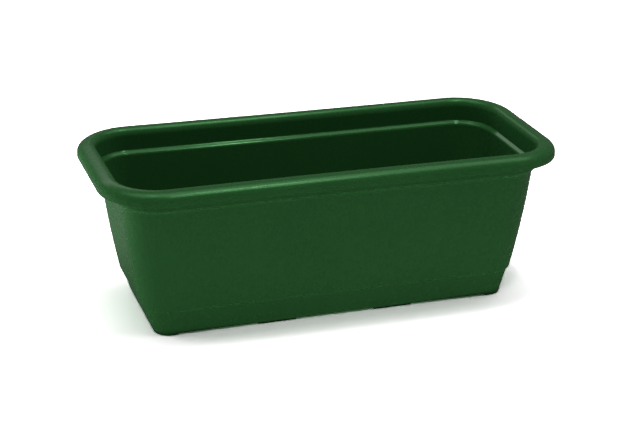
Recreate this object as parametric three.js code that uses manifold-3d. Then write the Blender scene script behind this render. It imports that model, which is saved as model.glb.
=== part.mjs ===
// Window box planter: a moulded plastic trough with a rolled rim, and push-in drain plugs in its floor.
// Millimetres, +Z up. The origin is the middle of the footprint, on the surface that the trough stands on.
// The long sides face -Y (front) and +Y (back), and the ends face -X and +X.

import * as THREE from 'three';
import { mergeVertices } from 'three/addons/utils/BufferGeometryUtils.js';
import Module from 'manifold-3d';

const wasm = await Module();
wasm.setup();

// ---- Driving dimensions ----

// Overall
const rimLength = 457;
const rimWidth = 205;
const height = 159.5;
const wall = 2.2;
const sideBow = 1.2; // how far the middle of each long side draws in

// Rolled rim
const rimCornerRadius = 57;
const skirtDepth = 12.6; // lip below the crown
const crownInset = 12.4; // crown in from the rim's outer face
const outerFall = 8.5; // height of the outer curve of the roll
const innerReach = 6.4; // width of the inner curve of the roll
const innerFall = 7.9;
const lipChamfer = 0.5;

// Collar under the rim and the ledge inside it
const ledgeHeight = 137.2;
const collarDraft = 0.3;
const ledgeShelf = 2.6;
const ledgeShelfDrop = 1.6;
const ledgeNoseWidth = 1.8;
const ledgeNoseDrop = 3.3;

// Body between the ledge and the base step
const bodyFootLength = 380.9;
const bodyFootWidth = 140.5;
const bodyFootRadius = 25.5;
const endBulge = 1.7;

// Base band below the step
const stepHeight = 28.2;
const stepBevel = 2.4;
const stepInset = 2.5;
const baseLength = 358.2;
const baseWidth = 127.4;
const baseRadius = 14.5;

// Floor and the edge that the trough stands on
const floorRise = 4;
const floorThickness = 2.4;
const floorFillet = 5;
const footChamfer = 1.2; // outer corner of the standing edge
const notchDepth = 1.5;
const notchLength = 80;
const notchPitch = 119; // drain notches and drain holes share this spacing
const notchCount = 3;

// Drain holes and plugs
const drainHoleRadius = 6.5;
const plugClearance = 0.3;
const plugTaper = 0.4;
const plugLip = 3.5; // how far the head reaches past the hole's edge
const plugHeadHeight = 1.8;
const plugHeadChamfer = 0.6;
const plugStemBelow = 1.6; // how far the stem shows under the floor
const plugWall = 1.6;
const tabLength = 11;
const tabThickness = 2.4;
const tabHeight = 7;

// Faceting
const cornerSteps = 7;
const sideSteps = 8;
const endSteps = 2;
const curveSteps = 5;
const bodySteps = 4;
const plugSegments = 28;
const tabSegments = 10;

// ---- Materials ----

const greenPlastic = new THREE.MeshStandardMaterial({ color: 0x2b5c31, roughness: 0.42, metalness: 0 });
const plugRubber = new THREE.MeshStandardMaterial({ color: 0x2b2f2b, roughness: 0.75, metalness: 0 });

// ---- Rounded rectangles ----

const lerp = (from, to, t) => from + (to - from) * t;

// One level of the trough: a rounded rectangle at a height.
const level = (halfLength, halfWidth, radius, z) => ({ halfLength, halfWidth, radius, z });

// The same rectangle drawn in by an inset, with its corners concentric.
const drawnIn = (base, inset, z = base.z) =>
  level(base.halfLength - inset, base.halfWidth - inset, base.radius - inset, z);

function blend(from, to, t) {
  return level(
    lerp(from.halfLength, to.halfLength, t),
    lerp(from.halfWidth, to.halfWidth, t),
    lerp(from.radius, to.radius, t),
    lerp(from.z, to.z, t),
  );
}

// Points of a level's outline, counter-clockwise from above, starting at the end of the +X side.
function outline({ halfLength, halfWidth, radius, z }) {
  const cornerX = halfLength - radius;
  const cornerY = halfWidth - radius;
  const corners = [
    [cornerX, cornerY, 0],
    [-cornerX, cornerY, 1],
    [-cornerX, -cornerY, 2],
    [cornerX, -cornerY, 3],
  ];
  const points = [];
  for (const [index, [x, y, quarter]] of corners.entries()) {
    for (let step = 0; step <= cornerSteps; step++) {
      const angle = (quarter + step / cornerSteps) * Math.PI / 2;
      points.push([x + radius * Math.cos(angle), y + radius * Math.sin(angle), z]);
    }
    const [nextX, nextY] = corners[(index + 1) % corners.length];
    const isLongSide = quarter % 2 === 0;
    const steps = isLongSide ? sideSteps : endSteps;
    const sideAngle = (quarter + 1) * Math.PI / 2;
    for (let step = 1; step < steps; step++) {
      const t = step / steps;
      const along = 2 * t - 1;
      const bow = isLongSide ? sideBow * (1 - along * along) * Math.sin(sideAngle) : 0;
      points.push([
        lerp(x, nextX, t) + radius * Math.cos(sideAngle),
        lerp(y, nextY, t) + radius * Math.sin(sideAngle) - bow,
        z,
      ]);
    }
  }
  return points;
}

// ---- Trough ----

const rimEdge = level(rimLength / 2, rimWidth / 2, rimCornerRadius, height);
const collarInset = crownInset + innerReach;
const ledgeInset = collarInset + collarDraft;
const bodyInset = ledgeInset + ledgeShelf + ledgeNoseWidth - wall;
const shelfLength = Math.hypot(ledgeShelf, ledgeShelfDrop);

const bodyHead = drawnIn(rimEdge, bodyInset, ledgeHeight - ledgeShelfDrop - ledgeNoseDrop);
const bodyFoot = level(bodyFootLength / 2, bodyFootWidth / 2, bodyFootRadius, stepHeight);
const baseHead = drawnIn(bodyFoot, stepInset, stepHeight - stepBevel);
const baseFoot = level(baseLength / 2, baseWidth / 2, baseRadius, 0);

// A quarter of an ellipse between the crown line and a wall of the roll, as levels of the rim.
function rollCurve(reach, fall, side, crownZ) {
  const levels = [];
  for (let step = 0; step <= curveSteps; step++) {
    const angle = (step / curveSteps) * Math.PI / 2;
    const inset = crownInset + side * reach * Math.sin(angle);
    levels.push(drawnIn(rimEdge, inset, crownZ - fall * (1 - Math.cos(angle))));
  }
  return levels;
}

// Lip, outer face, crown and inner face of the rim, down to the ledge.
function rimOutside() {
  const lipZ = height - skirtDepth;
  return [
    drawnIn(rimEdge, lipChamfer, lipZ),
    drawnIn(rimEdge, 0, lipZ + lipChamfer),
    ...rollCurve(crownInset, outerFall, -1, height).reverse(),
    ...rollCurve(innerReach, innerFall, 1, height).slice(1),
    drawnIn(rimEdge, ledgeInset, ledgeHeight),
  ];
}

// Underside of the rim, from the collar up over the channel and down the skirt to the lip.
function rimUnderside() {
  const skirtReach = crownInset - wall;
  const collarReach = innerReach - wall;
  const crownZ = height - wall;
  return [
    ...rollCurve(collarReach, innerFall - wall, 1, crownZ).reverse(),
    ...rollCurve(skirtReach, outerFall - wall, -1, crownZ).slice(1),
    drawnIn(rimEdge, wall, height - skirtDepth),
  ];
}

// Ledge inside the collar: a sloping shelf and a rounded nose.
function ledgeInside() {
  const noseInset = ledgeInset + ledgeShelf;
  const noseZ = ledgeHeight - ledgeShelfDrop;
  const levels = [];
  for (let step = 0; step < curveSteps; step++) {
    const angle = (step / curveSteps) * Math.PI / 2;
    const inset = noseInset + ledgeNoseWidth * Math.sin(angle);
    levels.push(drawnIn(rimEdge, inset, noseZ - ledgeNoseDrop * (1 - Math.cos(angle))));
  }
  return levels;
}

// The shoulder outside the ledge, one wall away from the shelf, with a hollow curve into the body.
function shoulderOutside() {
  const slope = ledgeShelfDrop / ledgeShelf;
  const drop = wall * shelfLength / ledgeShelf;
  const collarOuter = ledgeInset - wall;
  const shoulderZ = ledgeHeight + slope * wall - drop;
  const hollowInset = bodyInset - ledgeNoseWidth / 2;
  return [
    drawnIn(rimEdge, hollowInset, shoulderZ - slope * (hollowInset - collarOuter)),
    drawnIn(rimEdge, collarOuter, shoulderZ),
  ];
}

// Body wall from head to foot, its ends bulging a little between them. The inner face is one wall in.
function bodyLevels(inset) {
  const levels = [];
  for (let step = 0; step <= bodySteps; step++) {
    const t = step / bodySteps;
    const bulge = 4 * t * (1 - t);
    const bodyLevel = drawnIn(blend(bodyHead, bodyFoot, t), inset);
    bodyLevel.halfLength += endBulge * bulge;
    levels.push(bodyLevel);
  }
  return levels;
}

function baseLevelAt(z, inset) {
  const t = (baseHead.z - z) / (baseHead.z - baseFoot.z);
  return drawnIn(blend(baseHead, baseFoot, t), inset, z);
}

// Inside of the base band and the fillet that meets the floor.
function baseInside() {
  const floorTop = floorRise + floorThickness;
  const levels = [drawnIn(baseHead, wall)];
  for (let step = 0; step <= curveSteps; step++) {
    const angle = (step / curveSteps) * Math.PI / 2;
    const z = floorTop + floorFillet * (1 - Math.sin(angle));
    levels.push(baseLevelAt(z, wall + floorFillet * (1 - Math.cos(angle))));
  }
  return levels;
}

// Outside of the base band, the standing edge and the recess under the floor.
function baseOutside() {
  return [
    baseLevelAt(floorRise, wall),
    drawnIn(baseFoot, wall),
    drawnIn(baseFoot, footChamfer),
    baseLevelAt(footChamfer, 0),
    baseHead,
  ];
}

// Closed solid through a run of levels. A fan of triangles closes the first and the last one.
function loftedSolid(levels) {
  const rings = levels.map(outline);
  const count = rings[0].length;
  const positions = rings.flat(2);
  const firstCentre = rings.length * count;
  const lastCentre = firstCentre + 1;
  positions.push(0, 0, levels[0].z);
  positions.push(0, 0, levels[levels.length - 1].z);
  const triangles = [];
  for (let ring = 0; ring < rings.length - 1; ring++) {
    for (let point = 0; point < count; point++) {
      const next = (point + 1) % count;
      const low = ring * count;
      const high = low + count;
      triangles.push(low + point, low + next, high + next);
      triangles.push(low + point, high + next, high + point);
    }
  }
  const lastRing = (rings.length - 1) * count;
  for (let point = 0; point < count; point++) {
    const next = (point + 1) % count;
    triangles.push(firstCentre, next, point);
    triangles.push(lastCentre, lastRing + point, lastRing + next);
  }
  const geometry = new THREE.BufferGeometry();
  geometry.setAttribute('position', new THREE.Float32BufferAttribute(positions, 3));
  geometry.setIndex(triangles);
  return geometry;
}

// ---- Booleans ----

function toSolid(geometry) {
  const bare = geometry.clone();
  bare.deleteAttribute('normal');
  bare.deleteAttribute('uv');
  const merged = mergeVertices(bare);
  return new wasm.Manifold(new wasm.Mesh({
    numProp: 3,
    vertProperties: new Float32Array(merged.attributes.position.array),
    triVerts: new Uint32Array(merged.index.array),
  }));
}

function toGeometry(solid) {
  const mesh = solid.getMesh();
  const geometry = new THREE.BufferGeometry();
  geometry.setAttribute('position', new THREE.Float32BufferAttribute(mesh.vertProperties, 3));
  geometry.setIndex(new THREE.Uint32BufferAttribute(mesh.triVerts, 1));
  geometry.computeVertexNormals();
  return geometry;
}

// Places along X that the notches, the drain holes and the plugs share.
function drainPlaces() {
  const places = [];
  for (let index = 0; index < notchCount; index++) {
    places.push((index - (notchCount - 1) / 2) * notchPitch);
  }
  return places;
}

function troughGeometry() {
  let solid = toSolid(loftedSolid([
    ...baseOutside(),
    ...bodyLevels(0).reverse(),
    ...shoulderOutside(),
    ...rimUnderside(),
    ...rimOutside(),
    ...ledgeInside(),
    ...bodyLevels(wall),
    ...baseInside(),
  ]));
  const holeLength = 3 * floorThickness;
  const hole = new THREE.CylinderGeometry(drainHoleRadius, drainHoleRadius, holeLength, plugSegments);
  hole.rotateX(Math.PI / 2);
  const notch = new THREE.BoxGeometry(notchLength, 2 * rimWidth, 2 * notchDepth);
  for (const x of drainPlaces()) {
    const holeTool = hole.clone().translate(x, 0, floorRise + floorThickness / 2);
    solid = solid.subtract(toSolid(holeTool)).subtract(toSolid(notch.clone().translate(x, 0, 0)));
  }
  return toGeometry(solid);
}

// ---- Drain plugs ----

// A cup with a flange, closed at the bottom, that sits in a drain hole from above.
function plugCup() {
  const seatZ = floorRise + floorThickness + plugClearance;
  const headTop = seatZ + plugHeadHeight;
  const stemBottom = floorRise - plugStemBelow;
  const stemRadius = drainHoleRadius - plugClearance;
  const tipRadius = stemRadius - plugTaper;
  const headRadius = drainHoleRadius + plugLip;
  const profile = [
    [0, stemBottom],
    [tipRadius, stemBottom],
    [stemRadius, seatZ],
    [headRadius, seatZ],
    [headRadius, headTop - plugHeadChamfer],
    [headRadius - plugHeadChamfer, headTop],
    [stemRadius - plugWall, headTop],
    [tipRadius - plugWall, stemBottom + plugWall],
    [0, stemBottom + plugWall],
  ];
  const cup = new THREE.LatheGeometry(profile.map(([x, y]) => new THREE.Vector2(x, y)), plugSegments);
  return cup.rotateX(Math.PI / 2);
}

// The upright tab that fingers pull the plug out by, rooted in the cup's bottom.
function plugTab() {
  const headTop = floorRise + floorThickness + plugClearance + plugHeadHeight;
  const root = floorRise - plugStemBelow + plugWall / 2;
  const top = headTop + tabHeight - tabLength / 2;
  const stemHalf = drainHoleRadius - plugClearance - plugTaper - plugWall / 2;
  const shape = new THREE.Shape();
  shape.moveTo(-stemHalf, root);
  shape.lineTo(stemHalf, root);
  shape.lineTo(tabLength / 2, top);
  shape.absarc(0, top, tabLength / 2, 0, Math.PI, false);
  shape.lineTo(-stemHalf, root);
  const options = { depth: tabThickness, bevelEnabled: false, curveSegments: tabSegments };
  const tab = new THREE.ExtrudeGeometry(shape, options);
  return tab.translate(0, 0, -tabThickness / 2).rotateX(Math.PI / 2);
}

const plugGeometry = toGeometry(toSolid(plugCup()).add(toSolid(plugTab())));

// ---- Assembly ----

function named(name, geometry, material) {
  const mesh = new THREE.Mesh(geometry, material);
  mesh.name = name;
  return mesh;
}

const group = new THREE.Group();
group.add(named('trough', troughGeometry(), greenPlastic));

for (const [index, x] of drainPlaces().entries()) {
  const plug = named(`drain_plug_${index + 1}`, plugGeometry.clone(), plugRubber);
  plug.position.set(x, 0, 0);
  group.add(plug);
}

export default group;
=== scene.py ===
import math
from collections import namedtuple

import bmesh
import bpy
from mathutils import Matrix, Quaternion, Vector


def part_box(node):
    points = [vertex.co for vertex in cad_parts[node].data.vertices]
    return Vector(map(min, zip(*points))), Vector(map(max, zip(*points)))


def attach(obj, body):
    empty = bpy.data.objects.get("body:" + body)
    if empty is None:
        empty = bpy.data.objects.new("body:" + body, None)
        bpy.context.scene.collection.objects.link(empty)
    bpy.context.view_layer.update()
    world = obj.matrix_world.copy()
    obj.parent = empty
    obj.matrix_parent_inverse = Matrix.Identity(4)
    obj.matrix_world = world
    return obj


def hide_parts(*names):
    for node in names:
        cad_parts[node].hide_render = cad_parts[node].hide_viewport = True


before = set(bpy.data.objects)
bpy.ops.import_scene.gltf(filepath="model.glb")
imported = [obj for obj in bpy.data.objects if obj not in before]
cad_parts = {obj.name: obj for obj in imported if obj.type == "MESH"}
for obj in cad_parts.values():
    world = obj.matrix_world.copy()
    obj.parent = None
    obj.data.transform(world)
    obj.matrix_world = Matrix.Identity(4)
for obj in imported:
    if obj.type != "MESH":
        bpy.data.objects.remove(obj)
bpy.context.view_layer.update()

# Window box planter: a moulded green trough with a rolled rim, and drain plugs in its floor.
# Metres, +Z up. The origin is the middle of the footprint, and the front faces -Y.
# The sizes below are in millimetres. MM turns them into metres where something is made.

MM = 0.001
QUARTER = math.pi / 2

# ---- Sizes ----

trough_low, trough_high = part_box("trough")
rim_length = (trough_high[0] - trough_low[0]) / MM
rim_width = (trough_high[1] - trough_low[1]) / MM
height = (trough_high[2] - trough_low[2]) / MM
wall = 2.2
side_bow = 1.2

# Rolled rim. Its crown is the top line of the roll.
rim_corner_radius = 57
skirt_depth = 12.6
crown_inset = 12.4
outer_fall = 8.5
inner_reach = 6.4
inner_fall = 7.9

# Collar and ledge. The ledge is a sloping shelf with a rounded nose.
ledge_height = 137.2
collar_draft = 0.3
ledge_shelf = 2.6
ledge_shelf_drop = 1.6
ledge_nose_width = 1.8
ledge_nose_drop = 3.3

# Body and base band
body_foot_length = 380.9
body_foot_width = 140.5
body_foot_radius = 25.5
end_bulge = 1.7
step_height = 28.2
step_bevel = 2.4
step_inset = 2.5
base_length = 358.2
base_width = 127.4
base_radius = 14.5

# Floor, standing edge and drain holes
floor_rise = 4
floor_thickness = 2.4
floor_fillet = 5
notch_depth = 1.5
notch_length = 80
notch_ramp = 1
drain_hole_radius = 6.5
hole_rounding = 0.5

# Rounding of the moulded edges, as the distance from the corner to where the curve starts
underside_soft = 0.7  # where the standing edge meets the underside of the floor
foot_soft = 1.5  # outer corner of the standing edge
inner_foot_soft = 0.5
lip_soft = 0.6
step_soft = 0.6
crease_soft = 0.9
hollow_soft = 2.4
most_soft = 0.45  # a curve never takes more than this share of the run beside its corner

# Plugs
plug_clearance = 0.3
plug_taper = 0.4
plug_lip = 3.5
plug_head_height = 1.8
plug_stem_below = 1.6
plug_wall = 1.6
plug_soft = 0.45
tab_length = 11
tab_thickness = 2.4
tab_height = 7
tab_rounding = 0.7
rib_radius = 0.4
rib_tip_radius = 0.12
rib_pitch = 1.7
rib_count = 3

# Fineness
corner_steps = 24
side_steps = 30
end_steps = 10
roll_steps = 18
nose_steps = 8
body_steps = 16
fillet_steps = 8
soft_steps = 5
circle_steps = 64
rib_segments = 12


# ---- Levels: rounded rectangles at a height ----

Level = namedtuple("Level", "half_length half_width radius z")


def mix(start, end, t):
    return Level(*(a + (b - a) * t for a, b in zip(start, end)))


def drawn_in(base, inset, z=None):
    """The same rectangle drawn in by an inset, with its corners concentric."""
    z = base.z if z is None else z
    return Level(base.half_length - inset, base.half_width - inset, base.radius - inset, z)


rim_edge = Level(rim_length / 2, rim_width / 2, rim_corner_radius, height)
ledge_inset = crown_inset + inner_reach + collar_draft
shelf_slope = ledge_shelf_drop / ledge_shelf
nose_head_z = ledge_height - ledge_shelf_drop
nose_foot_z = nose_head_z - ledge_nose_drop

body_inset = ledge_inset + ledge_shelf + ledge_nose_width - wall
body_head = drawn_in(rim_edge, body_inset, nose_foot_z)
body_foot = Level(body_foot_length / 2, body_foot_width / 2, body_foot_radius, step_height)
base_head = drawn_in(body_foot, step_inset, step_height - step_bevel)
base_foot = Level(base_length / 2, base_width / 2, base_radius, 0)
floor_top = floor_rise + floor_thickness

plugs = [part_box(name) for name in sorted(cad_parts) if name.startswith("drain_plug")]
drain_places = sorted((low[0] + high[0]) / 2 / MM for low, high in plugs)


def side_fractions():
    """Places along a long side, from 0 to 1, with a pair at each end of each drain notch."""
    reach = base_foot.half_length - base_foot.radius
    places = [reach * (2 * step / side_steps - 1) for step in range(1, side_steps)]
    for centre in drain_places:
        for end in (-notch_length / 2, notch_length / 2):
            places += [centre + end - notch_ramp / 2, centre + end + notch_ramp / 2]
    return sorted((x / reach + 1) / 2 for x in places)


def notch_lift(x, y, z):
    """How far the standing edge rises at a point. It does so in the drain notches only."""
    corner_y = base_foot.half_width - base_foot.radius
    if z >= floor_rise or abs(y) < corner_y:
        return 0
    depth = 0
    for centre in drain_places:
        inside = (notch_length / 2 + notch_ramp / 2 - abs(x - centre)) / notch_ramp
        depth = max(depth, min(1, inside))
    return depth * notch_depth * (1 - z / floor_rise)


long_side_places = side_fractions()
short_side_places = [step / end_steps for step in range(1, end_steps)]


def outline(level):
    """Points of a level, counter-clockwise from above, from the end of the +X side."""
    corner_x = level.half_length - level.radius
    corner_y = level.half_width - level.radius
    corners = [
        (corner_x, corner_y),
        (-corner_x, corner_y),
        (-corner_x, -corner_y),
        (corner_x, -corner_y),
    ]
    points = []
    for quarter, (x, y) in enumerate(corners):
        for step in range(corner_steps + 1):
            angle = (quarter + step / corner_steps) * QUARTER
            points.append((x + level.radius * math.cos(angle), y + level.radius * math.sin(angle)))
        next_x, next_y = corners[(quarter + 1) % 4]
        is_long_side = quarter % 2 == 0
        angle = (quarter + 1) * QUARTER
        for t in long_side_places if is_long_side else short_side_places:
            along = 2 * t - 1
            bow = side_bow * (1 - along * along) if is_long_side else 0
            reach = level.radius - bow
            side_x = x + (next_x - x) * t + reach * math.cos(angle)
            side_y = y + (next_y - y) * t + reach * math.sin(angle)
            points.append((side_x, side_y))
    return [(x, y, level.z + notch_lift(x, y, level.z)) for x, y in points]


def span(one, other):
    """Distance between two levels, in the section across the box."""
    return math.hypot(one.half_width - other.half_width, one.z - other.z)


def softened(profile):
    """Levels of a profile of (level, reach) pairs, with a curve at each corner that has a reach."""
    levels = []
    for index, (corner, reach) in enumerate(profile):
        if reach == 0 or index in (0, len(profile) - 1):
            levels.append(corner)
            continue
        before = profile[index - 1][0]
        after = profile[index + 1][0]
        start = mix(corner, before, min(most_soft, reach / span(corner, before)))
        end = mix(corner, after, min(most_soft, reach / span(corner, after)))
        for step in range(soft_steps + 1):
            t = step / soft_steps
            levels.append(mix(mix(start, corner, t), mix(corner, end, t), t))
    return levels


# ---- Profile of the trough ----

def roll_curve(reach, fall, side, crown_z):
    """A quarter of an ellipse between the crown line and a wall of the rolled rim."""
    levels = []
    for step in range(roll_steps + 1):
        angle = step / roll_steps * QUARTER
        inset = crown_inset + side * reach * math.sin(angle)
        levels.append((drawn_in(rim_edge, inset, crown_z - fall * (1 - math.cos(angle))), 0))
    return levels


def body_profile(inset):
    """The body's wall from head to foot, its ends bulging a little between them."""
    levels = []
    for step in range(body_steps):
        t = step / body_steps
        bulge = end_bulge * 4 * t * (1 - t)
        plain = drawn_in(mix(body_head, body_foot, t), inset)
        levels.append((plain._replace(half_length=plain.half_length + bulge), 0))
    levels.append((drawn_in(body_foot, inset), step_soft))
    return levels


def base_level_at(z, inset):
    t = (base_head.z - z) / (base_head.z - base_foot.z)
    return drawn_in(mix(base_head, base_foot, t), inset, z)


def outside_profile():
    """From the underside of the floor, round the standing edge and up to the shoulder."""
    # The wall's thickness, measured straight down through the sloping shelf
    shelf_wall = wall * math.hypot(ledge_shelf, ledge_shelf_drop) / ledge_shelf
    shoulder_inset = ledge_inset - wall
    shoulder_z = ledge_height + shelf_slope * wall - shelf_wall
    hollow_inset = body_inset - ledge_nose_width / 2
    hollow_z = shoulder_z - shelf_slope * (hollow_inset - shoulder_inset)
    return [
        (base_level_at(floor_rise, wall + 2 * underside_soft), 0),
        (base_level_at(floor_rise, wall), underside_soft),
        (drawn_in(base_foot, wall), inner_foot_soft),
        (base_foot, foot_soft),
        (base_head, step_soft),
        *reversed(body_profile(0)[1:]),
        (body_head, hollow_soft),
        (drawn_in(rim_edge, hollow_inset, hollow_z), crease_soft),
        (drawn_in(rim_edge, shoulder_inset, shoulder_z), crease_soft),
    ]


def rim_profile():
    """Up the collar, over the channel, round the lip and over the roll, down to the ledge."""
    under_z = height - wall
    skirt_top = roll_curve(crown_inset - wall, outer_fall - wall, -1, under_z)
    collar_top = roll_curve(inner_reach - wall, inner_fall - wall, 1, under_z)
    lip_z = height - skirt_depth
    return [
        *reversed(collar_top),
        *skirt_top[1:],
        (drawn_in(rim_edge, wall, lip_z), lip_soft),
        (drawn_in(rim_edge, 0, lip_z), lip_soft),
        *reversed(roll_curve(crown_inset, outer_fall, -1, height)),
        *roll_curve(inner_reach, inner_fall, 1, height)[1:],
        (drawn_in(rim_edge, ledge_inset, ledge_height), crease_soft),
    ]


def inside_profile():
    """The ledge's nose, the inner wall, and the fillet that meets the floor."""
    profile = []
    for step in range(nose_steps):
        t = step / nose_steps
        inset = ledge_inset + ledge_shelf + ledge_nose_width * t * (2 - t)
        fall = 2 * t * (1 - t) * shelf_slope * ledge_nose_width + t * t * ledge_nose_drop
        profile.append((drawn_in(rim_edge, inset, nose_head_z - fall), 0))
    profile += body_profile(wall)
    profile.append((drawn_in(base_head, wall), step_soft))
    for step in range(fillet_steps + 1):
        angle = step / fillet_steps * QUARTER
        z = floor_top + floor_fillet * (1 - math.sin(angle))
        profile.append((base_level_at(z, wall + floor_fillet * (1 - math.cos(angle))), 0))
    return profile


# ---- Mesh helpers ----

def circle(radius, z, x):
    points = []
    for step in range(circle_steps):
        angle = math.tau * step / circle_steps
        points.append((x + radius * math.cos(angle), radius * math.sin(angle), z))
    return points


def add_rings(mesh, rings):
    """Adds rings of points in millimetres, joined by quads, and returns them as vertices."""
    made = [[mesh.verts.new(Vector(point) * MM) for point in ring] for ring in rings]
    for low, high in zip(made, made[1:]):
        for index in range(len(low)):
            after = (index + 1) % len(low)
            mesh.faces.new((low[index], low[after], high[after], high[index]))
    return made


def add_solid(mesh, rings):
    """Adds rings joined by quads, with a face over the first and the last."""
    made = add_rings(mesh, rings)
    mesh.faces.new(made[0])
    mesh.faces.new(made[-1])


def scene_object(name, mesh, material):
    """Puts a bmesh into the scene as an object, and frees the bmesh."""
    data = bpy.data.meshes.new(name)
    mesh.to_mesh(data)
    mesh.free()
    data.materials.append(material)
    made = bpy.data.objects.new(name, data)
    bpy.context.scene.collection.objects.link(made)
    return made


def smooth_piece(name, mesh, material):
    """A bmesh as an object, shaded smooth, with the normals held flat on its large faces."""
    bmesh.ops.recalc_face_normals(mesh, faces=mesh.faces)
    for face in mesh.faces:
        face.smooth = True
    piece = scene_object(name, mesh, material)
    piece.modifiers.new("Weighted normals", "WEIGHTED_NORMAL")
    return piece


# ---- Trough ----

def hole_rings(x):
    """Rings of a drain hole, from the floor's top to its underside, with rounded edges."""
    upper = []
    for step in range(soft_steps + 1):
        angle = step / soft_steps * QUARTER
        radius = drain_hole_radius + hole_rounding * (1 - math.sin(angle))
        upper.append((radius, floor_top - hole_rounding * (1 - math.cos(angle))))
    lower = [(radius, floor_rise + floor_top - z) for radius, z in reversed(upper)]
    return [circle(radius, z, x) for radius, z in [*upper, *lower]]


def fill_floor(mesh, rim, holes):
    """A flat face between an outer ring and the rings of the drain holes."""
    edges = []
    for ring in [rim, *holes]:
        edges += [mesh.edges.get((ring[index - 1], ring[index])) for index in range(len(ring))]
    bmesh.ops.triangle_fill(mesh, edges=edges, use_beauty=True, use_dissolve=False)


def trough_shell(material):
    mesh = bmesh.new()
    levels = softened([*outside_profile(), *rim_profile(), *inside_profile()])
    rings = add_rings(mesh, [outline(level) for level in levels])
    holes = [add_rings(mesh, hole_rings(x)) for x in drain_places]
    fill_floor(mesh, rings[0], [hole[-1] for hole in holes])
    fill_floor(mesh, rings[-1], [hole[0] for hole in holes])
    return smooth_piece("trough_shell", mesh, material)


# ---- Drain plugs ----

plug_seat = floor_top + plug_clearance
plug_top = plug_seat + plug_head_height
plug_bottom = floor_rise - plug_stem_below
plug_head = drain_hole_radius + plug_lip
plug_stem = drain_hole_radius - plug_clearance
plug_tip = plug_stem - plug_taper


def plug_profile():
    """A plug's cup, up its outside and down its inside. Each level is a circle."""
    places = [
        (plug_tip, plug_bottom),
        (plug_stem, plug_seat),
        (plug_head, plug_seat),
        (plug_head, plug_top),
        (plug_stem - plug_wall, plug_top),
        (plug_tip - plug_wall, plug_bottom + plug_wall),
    ]
    return [(Level(radius, radius, radius, z), plug_soft) for radius, z in places]


def tab_outline(x, y, inset):
    """The pull tab's outline, drawn in by an inset: straight sides and half a circle on top."""
    root_z = plug_bottom + plug_wall / 2
    root_half = plug_tip - plug_wall / 2 - inset
    arch_z = plug_top + tab_height - tab_length / 2
    arch_radius = tab_length / 2 - inset
    arch_steps = circle_steps // 2
    points = [(x - root_half, y, root_z), (x + root_half, y, root_z)]
    for step in range(arch_steps + 1):
        angle = math.pi * step / arch_steps
        arch_x = x + arch_radius * math.cos(angle)
        points.append((arch_x, y, arch_z + arch_radius * math.sin(angle)))
    return points


def add_tab(mesh, x):
    flat = tab_thickness / 2 - tab_rounding
    sections = []
    for step in range(soft_steps + 1):
        angle = step / soft_steps * QUARTER
        inset = tab_rounding * (1 - math.sin(angle))
        sections.append((inset, flat + tab_rounding * math.cos(angle)))
    front = [tab_outline(x, -y, inset) for inset, y in sections]
    back = [tab_outline(x, y, inset) for inset, y in reversed(sections)]
    add_solid(mesh, [*front, *back])


def rib_ring(x, y, z, radius):
    angles = [math.tau * step / rib_segments for step in range(rib_segments)]
    return [(x, y + radius * math.cos(angle), z + radius * math.sin(angle)) for angle in angles]


def add_ribs(mesh, x):
    """Small grip ribs across both faces of the tab, each with tapered ends."""
    reach = tab_length / 2 - 2 * tab_rounding
    left = [(-reach, rib_tip_radius), (-reach + rib_radius, rib_radius)]
    right = [(-along, radius) for along, radius in reversed(left)]
    for index in range(rib_count):
        z = plug_top + tab_height / 2 + (index - (rib_count - 1) / 2) * rib_pitch
        for y in (-tab_thickness / 2, tab_thickness / 2):
            add_solid(mesh, [rib_ring(x + along, y, z, radius) for along, radius in left + right])


def drain_plug(name, x, material):
    mesh = bmesh.new()
    add_solid(mesh, [circle(level.radius, level.z, x) for level in softened(plug_profile())])
    add_tab(mesh, x)
    add_ribs(mesh, x)
    return smooth_piece(name, mesh, material)


# ---- Materials: linear colours, noise scales in waves per metre, bump distances in metres ----

green_dark = (0.0178, 0.084, 0.0215)
green_light = (0.0205, 0.092, 0.0242)
green_shine = (0.3, 1.0, 0.36)  # tint of the plastic's reflections
green_roughness = (0.24, 0.29)
ledge_polish = 0.4  # roughness of the ledge, as a share of the rest
ledge_band = (0.1, 0.4, 0.85, 0.95)  # where the polish starts, is full, lessens and ends
ledge_band_margin = 1  # how far above the ledge the band reaches, in millimetres
rubber_dark = (0.020, 0.024, 0.021)
rubber_light = (0.030, 0.034, 0.031)
rubber_roughness = (0.52, 0.66)
specular_level = 0.3
noise_span = (0.3, 0.7)  # where most values of a noise lie


def principled(name):
    """A new material, its node tree and its shader."""
    material = bpy.data.materials.new(name)
    material.use_nodes = True
    tree = material.node_tree
    return material, tree, tree.nodes["Principled BSDF"]


def add_noise(tree, scale, detail):
    """Noise over the object's own coordinates."""
    place = tree.nodes.new("ShaderNodeTexCoord")
    noise = tree.nodes.new("ShaderNodeTexNoise")
    noise.inputs["Scale"].default_value = scale
    noise.inputs["Detail"].default_value = detail
    tree.links.new(place.outputs["Object"], noise.inputs["Vector"])
    return noise.outputs["Fac"]


def add_ramp(tree, value, colours):
    """A colour between several stops (place, colour), picked by a value."""
    ramp = tree.nodes.new("ShaderNodeValToRGB")
    stops = ramp.color_ramp.elements
    while len(stops) < len(colours):
        stops.new(1.0)
    for stop, (place, colour) in zip(stops, colours):
        stop.position = place
        stop.color = (*colour, 1)
    tree.links.new(value, ramp.inputs["Fac"])
    return ramp.outputs["Color"]


def add_range(tree, value, result, limits=noise_span):
    """Stretches a value from its limits to the ends of a result, and holds it beyond them."""
    spread = tree.nodes.new("ShaderNodeMapRange")
    spread.inputs["From Min"].default_value = limits[0]
    spread.inputs["From Max"].default_value = limits[1]
    spread.inputs["To Min"].default_value = result[0]
    spread.inputs["To Max"].default_value = result[1]
    tree.links.new(value, spread.inputs["Value"])
    return spread.outputs["Result"]


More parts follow.
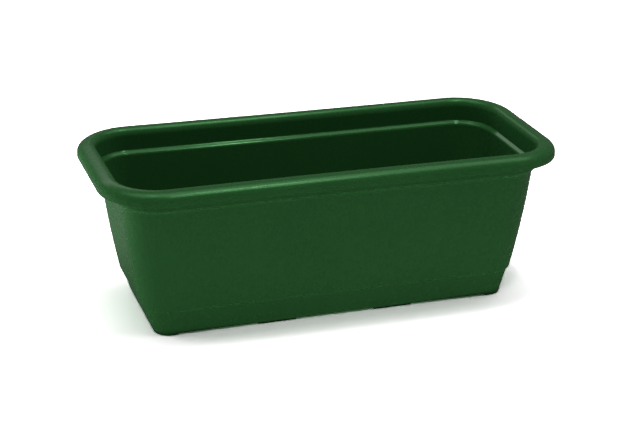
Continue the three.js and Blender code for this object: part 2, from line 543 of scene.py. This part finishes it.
def add_ledge_band(tree, inside, outside):
    """One value in the band of heights that holds the ledge, and another above and below it."""
    place = tree.nodes.new("ShaderNodeTexCoord")
    split = tree.nodes.new("ShaderNodeSeparateXYZ")
    tree.links.new(place.outputs["Object"], split.inputs[0])
    limits = (nose_foot_z * MM, (ledge_height + ledge_band_margin) * MM)
    across = add_range(tree, split.outputs["Z"], (0, 1), limits)
    values = (outside, inside, inside, outside)
    return add_ramp(tree, across, [(at, (value,) * 3) for at, value in zip(ledge_band, values)])


def add_product(tree, one, other):
    node = tree.nodes.new("ShaderNodeMath")
    node.operation = "MULTIPLY"
    tree.links.new(one, node.inputs[0])
    tree.links.new(other, node.inputs[1])
    return node.outputs[0]


def add_bump(tree, value, distance, strength, below=None):
    bump = tree.nodes.new("ShaderNodeBump")
    bump.inputs["Distance"].default_value = distance
    bump.inputs["Strength"].default_value = strength
    tree.links.new(value, bump.inputs["Height"])
    if below is not None:
        tree.links.new(below, bump.inputs["Normal"])
    return bump.outputs["Normal"]


def green_plastic():
    """Satin moulded plastic: faint flow marks in the colour, a fine grain and a slight waviness."""
    material, tree, shader = principled("green_plastic")
    shader.inputs["Specular IOR Level"].default_value = specular_level
    shader.inputs["Specular Tint"].default_value = (*green_shine, 1)
    flow = add_noise(tree, scale=9, detail=4)
    colour = add_ramp(tree, flow, [(0.3, green_dark), (0.7, green_light)])
    tree.links.new(colour, shader.inputs["Base Color"])
    roughness = add_range(tree, add_noise(tree, scale=140, detail=5), green_roughness)
    polished = add_product(tree, roughness, add_ledge_band(tree, ledge_polish, 1))
    tree.links.new(polished, shader.inputs["Roughness"])
    swell = add_noise(tree, scale=16, detail=1)
    waves = add_bump(tree, swell, distance=0.0006, strength=0.12)
    specks = add_noise(tree, scale=1600, detail=2)
    grain = add_bump(tree, specks, distance=0.0001, strength=0.07, below=waves)
    tree.links.new(grain, shader.inputs["Normal"])
    return material


def plug_rubber():
    """Dull dark rubber with a fine mould grain and a little bloom."""
    material, tree, shader = principled("plug_rubber")
    shader.inputs["Specular IOR Level"].default_value = specular_level
    bloom = add_noise(tree, scale=260, detail=5)
    colour = add_ramp(tree, bloom, [(0.35, rubber_dark), (0.7, rubber_light)])
    tree.links.new(colour, shader.inputs["Base Color"])
    tree.links.new(add_range(tree, bloom, rubber_roughness), shader.inputs["Roughness"])
    specks = add_noise(tree, scale=3200, detail=3)
    grain = add_bump(tree, specks, distance=0.00008, strength=0.3)
    tree.links.new(grain, shader.inputs["Normal"])
    return material


# ---- Camera, floor and light ----

# The camera stands this many degrees to the left of the front and above the ground.
camera_azimuth = 18.87
camera_elevation = 21.95
camera_roll = 1.06
camera_distance = 1663.2
camera_target = (3.55, 0, 82.1)
camera_lens = 93.86
sensor_width = 36

floor_half = 6000
floor_paper = (0.9, 0.9, 0.9)
floor_mirrored = (0.15, 0.15, 0.15)  # the paper as reflections see it
floor_seen = (2.85, 2.76, 2.83)  # the paper as the camera sees it, well exposed

# Each lamp's size, place, direction, and power in watts. The two tables lie just above the
# paper and shine up.
lamps = {
    "softbox": ((2000, 900), (100, 100, 1500), (0, 0, -1), 13),
    "key_light": ((360, 160), (300, -520, 1500), (-400, 560, -1360), 2.8),
    "ledge_light": ((200, 80), (284, -130, 1500), (-400, 200, -1360), 3),
    "corner_light": ((140, 140), (-256, 60, 1500), (256, 0, -1360), 0.8),
    "back_card": ((900, 260), (-330, 1500, 1010), (0, -1400, -820), 1.1),
    "left_card": ((900, 400), (-1250, 620, 240), (1250, -620, -160), 9),
    "left_table": ((500, 600), (-560, 360, 2), (0, 0, 1), 7),
    "light_table": ((2400, 2000), (0, 0, 2), (0, 0, 1), 9),
}
unmirrored_lamps = ("left_card", "left_table", "light_table")  # left out of reflections
world_level = 0.12


def add_camera():
    azimuth = math.radians(camera_azimuth)
    elevation = math.radians(camera_elevation)
    look = Vector((
        math.sin(azimuth) * math.cos(elevation),
        math.cos(azimuth) * math.cos(elevation),
        -math.sin(elevation),
    ))
    data = bpy.data.cameras.new("camera")
    data.sensor_width = sensor_width
    data.lens = camera_lens
    camera = bpy.data.objects.new("camera", data)
    camera.location = (Vector(camera_target) - look * camera_distance) * MM
    camera.rotation_mode = "QUATERNION"
    turn = Quaternion((0, 0, 1), math.radians(camera_roll))
    camera.rotation_quaternion = look.to_track_quat("-Z", "Y") @ turn
    bpy.context.scene.collection.objects.link(camera)
    bpy.context.scene.camera = camera


def add_choice(tree, factor, otherwise, chosen):
    """One colour or another, by a factor of 0 or 1. The first may be another choice."""
    choice = tree.nodes.new("ShaderNodeMix")
    choice.data_type = "RGBA"
    tree.links.new(factor, choice.inputs["Factor"])
    if isinstance(otherwise, tuple):
        choice.inputs["A"].default_value = (*otherwise, 1)
    else:
        tree.links.new(otherwise, choice.inputs["A"])
    choice.inputs["B"].default_value = (*chosen, 1)
    return choice.outputs["Result"]


def studio_paper():
    """White paper, at a level of its own for the camera and for reflections. It takes shadows."""
    material = bpy.data.materials.new("studio_floor")
    material.use_nodes = True
    tree = material.node_tree
    tree.nodes.clear()
    output = tree.nodes.new("ShaderNodeOutputMaterial")
    paper = tree.nodes.new("ShaderNodeBsdfDiffuse")
    path = tree.nodes.new("ShaderNodeLightPath")
    colour = add_choice(tree, path.outputs["Is Glossy Ray"], floor_paper, floor_mirrored)
    colour = add_choice(tree, path.outputs["Is Transmission Ray"], colour, floor_mirrored)
    colour = add_choice(tree, path.outputs["Is Camera Ray"], colour, floor_seen)
    tree.links.new(colour, paper.inputs["Color"])
    tree.links.new(paper.outputs[0], output.inputs["Surface"])
    return material


def add_floor():
    mesh = bmesh.new()
    half = floor_half * MM
    corners = [(-half, -half, 0), (half, -half, 0), (half, half, 0), (-half, half, 0)]
    mesh.faces.new([mesh.verts.new(corner) for corner in corners])
    floor = scene_object("floor", mesh, studio_paper())


def add_lamp(name, size, place, direction, power):
    """A rectangular lamp out of the camera's sight, and out of reflections if it only fills in."""
    data = bpy.data.lights.new(name, "AREA")
    data.shape = "RECTANGLE"
    data.size = size[0] * MM
    data.size_y = size[1] * MM
    data.energy = power
    lamp = bpy.data.objects.new(name, data)
    lamp.location = Vector(place) * MM
    lamp.rotation_mode = "QUATERNION"
    lamp.rotation_quaternion = Vector(direction).to_track_quat("-Z", "Y")
    lamp.visible_camera = False
    lamp.visible_glossy = name not in unmirrored_lamps
    bpy.context.scene.collection.objects.link(lamp)


def add_world():
    """A dim, plain surround, for a little light from all sides."""
    world = bpy.data.worlds.new("studio")
    world.use_nodes = True
    background = world.node_tree.nodes["Background"]
    background.inputs["Color"].default_value = (world_level, world_level, world_level, 1)
    bpy.context.scene.world = world


def assemble():
    green = green_plastic()
    rubber = plug_rubber()
    shell = trough_shell(green)
    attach(shell, "trough")
    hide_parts("trough")
    for number, x in enumerate(drain_places, 1):
        plug = drain_plug(f"plug_{number}", x, rubber)
        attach(plug, f"drain_plug_{number}")
        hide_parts(f"drain_plug_{number}")


add_camera()
add_floor()
for lamp_name, settings in lamps.items():
    add_lamp(lamp_name, *settings)
add_world()
assemble()
bpy.context.scene.view_settings.view_transform = "Standard"
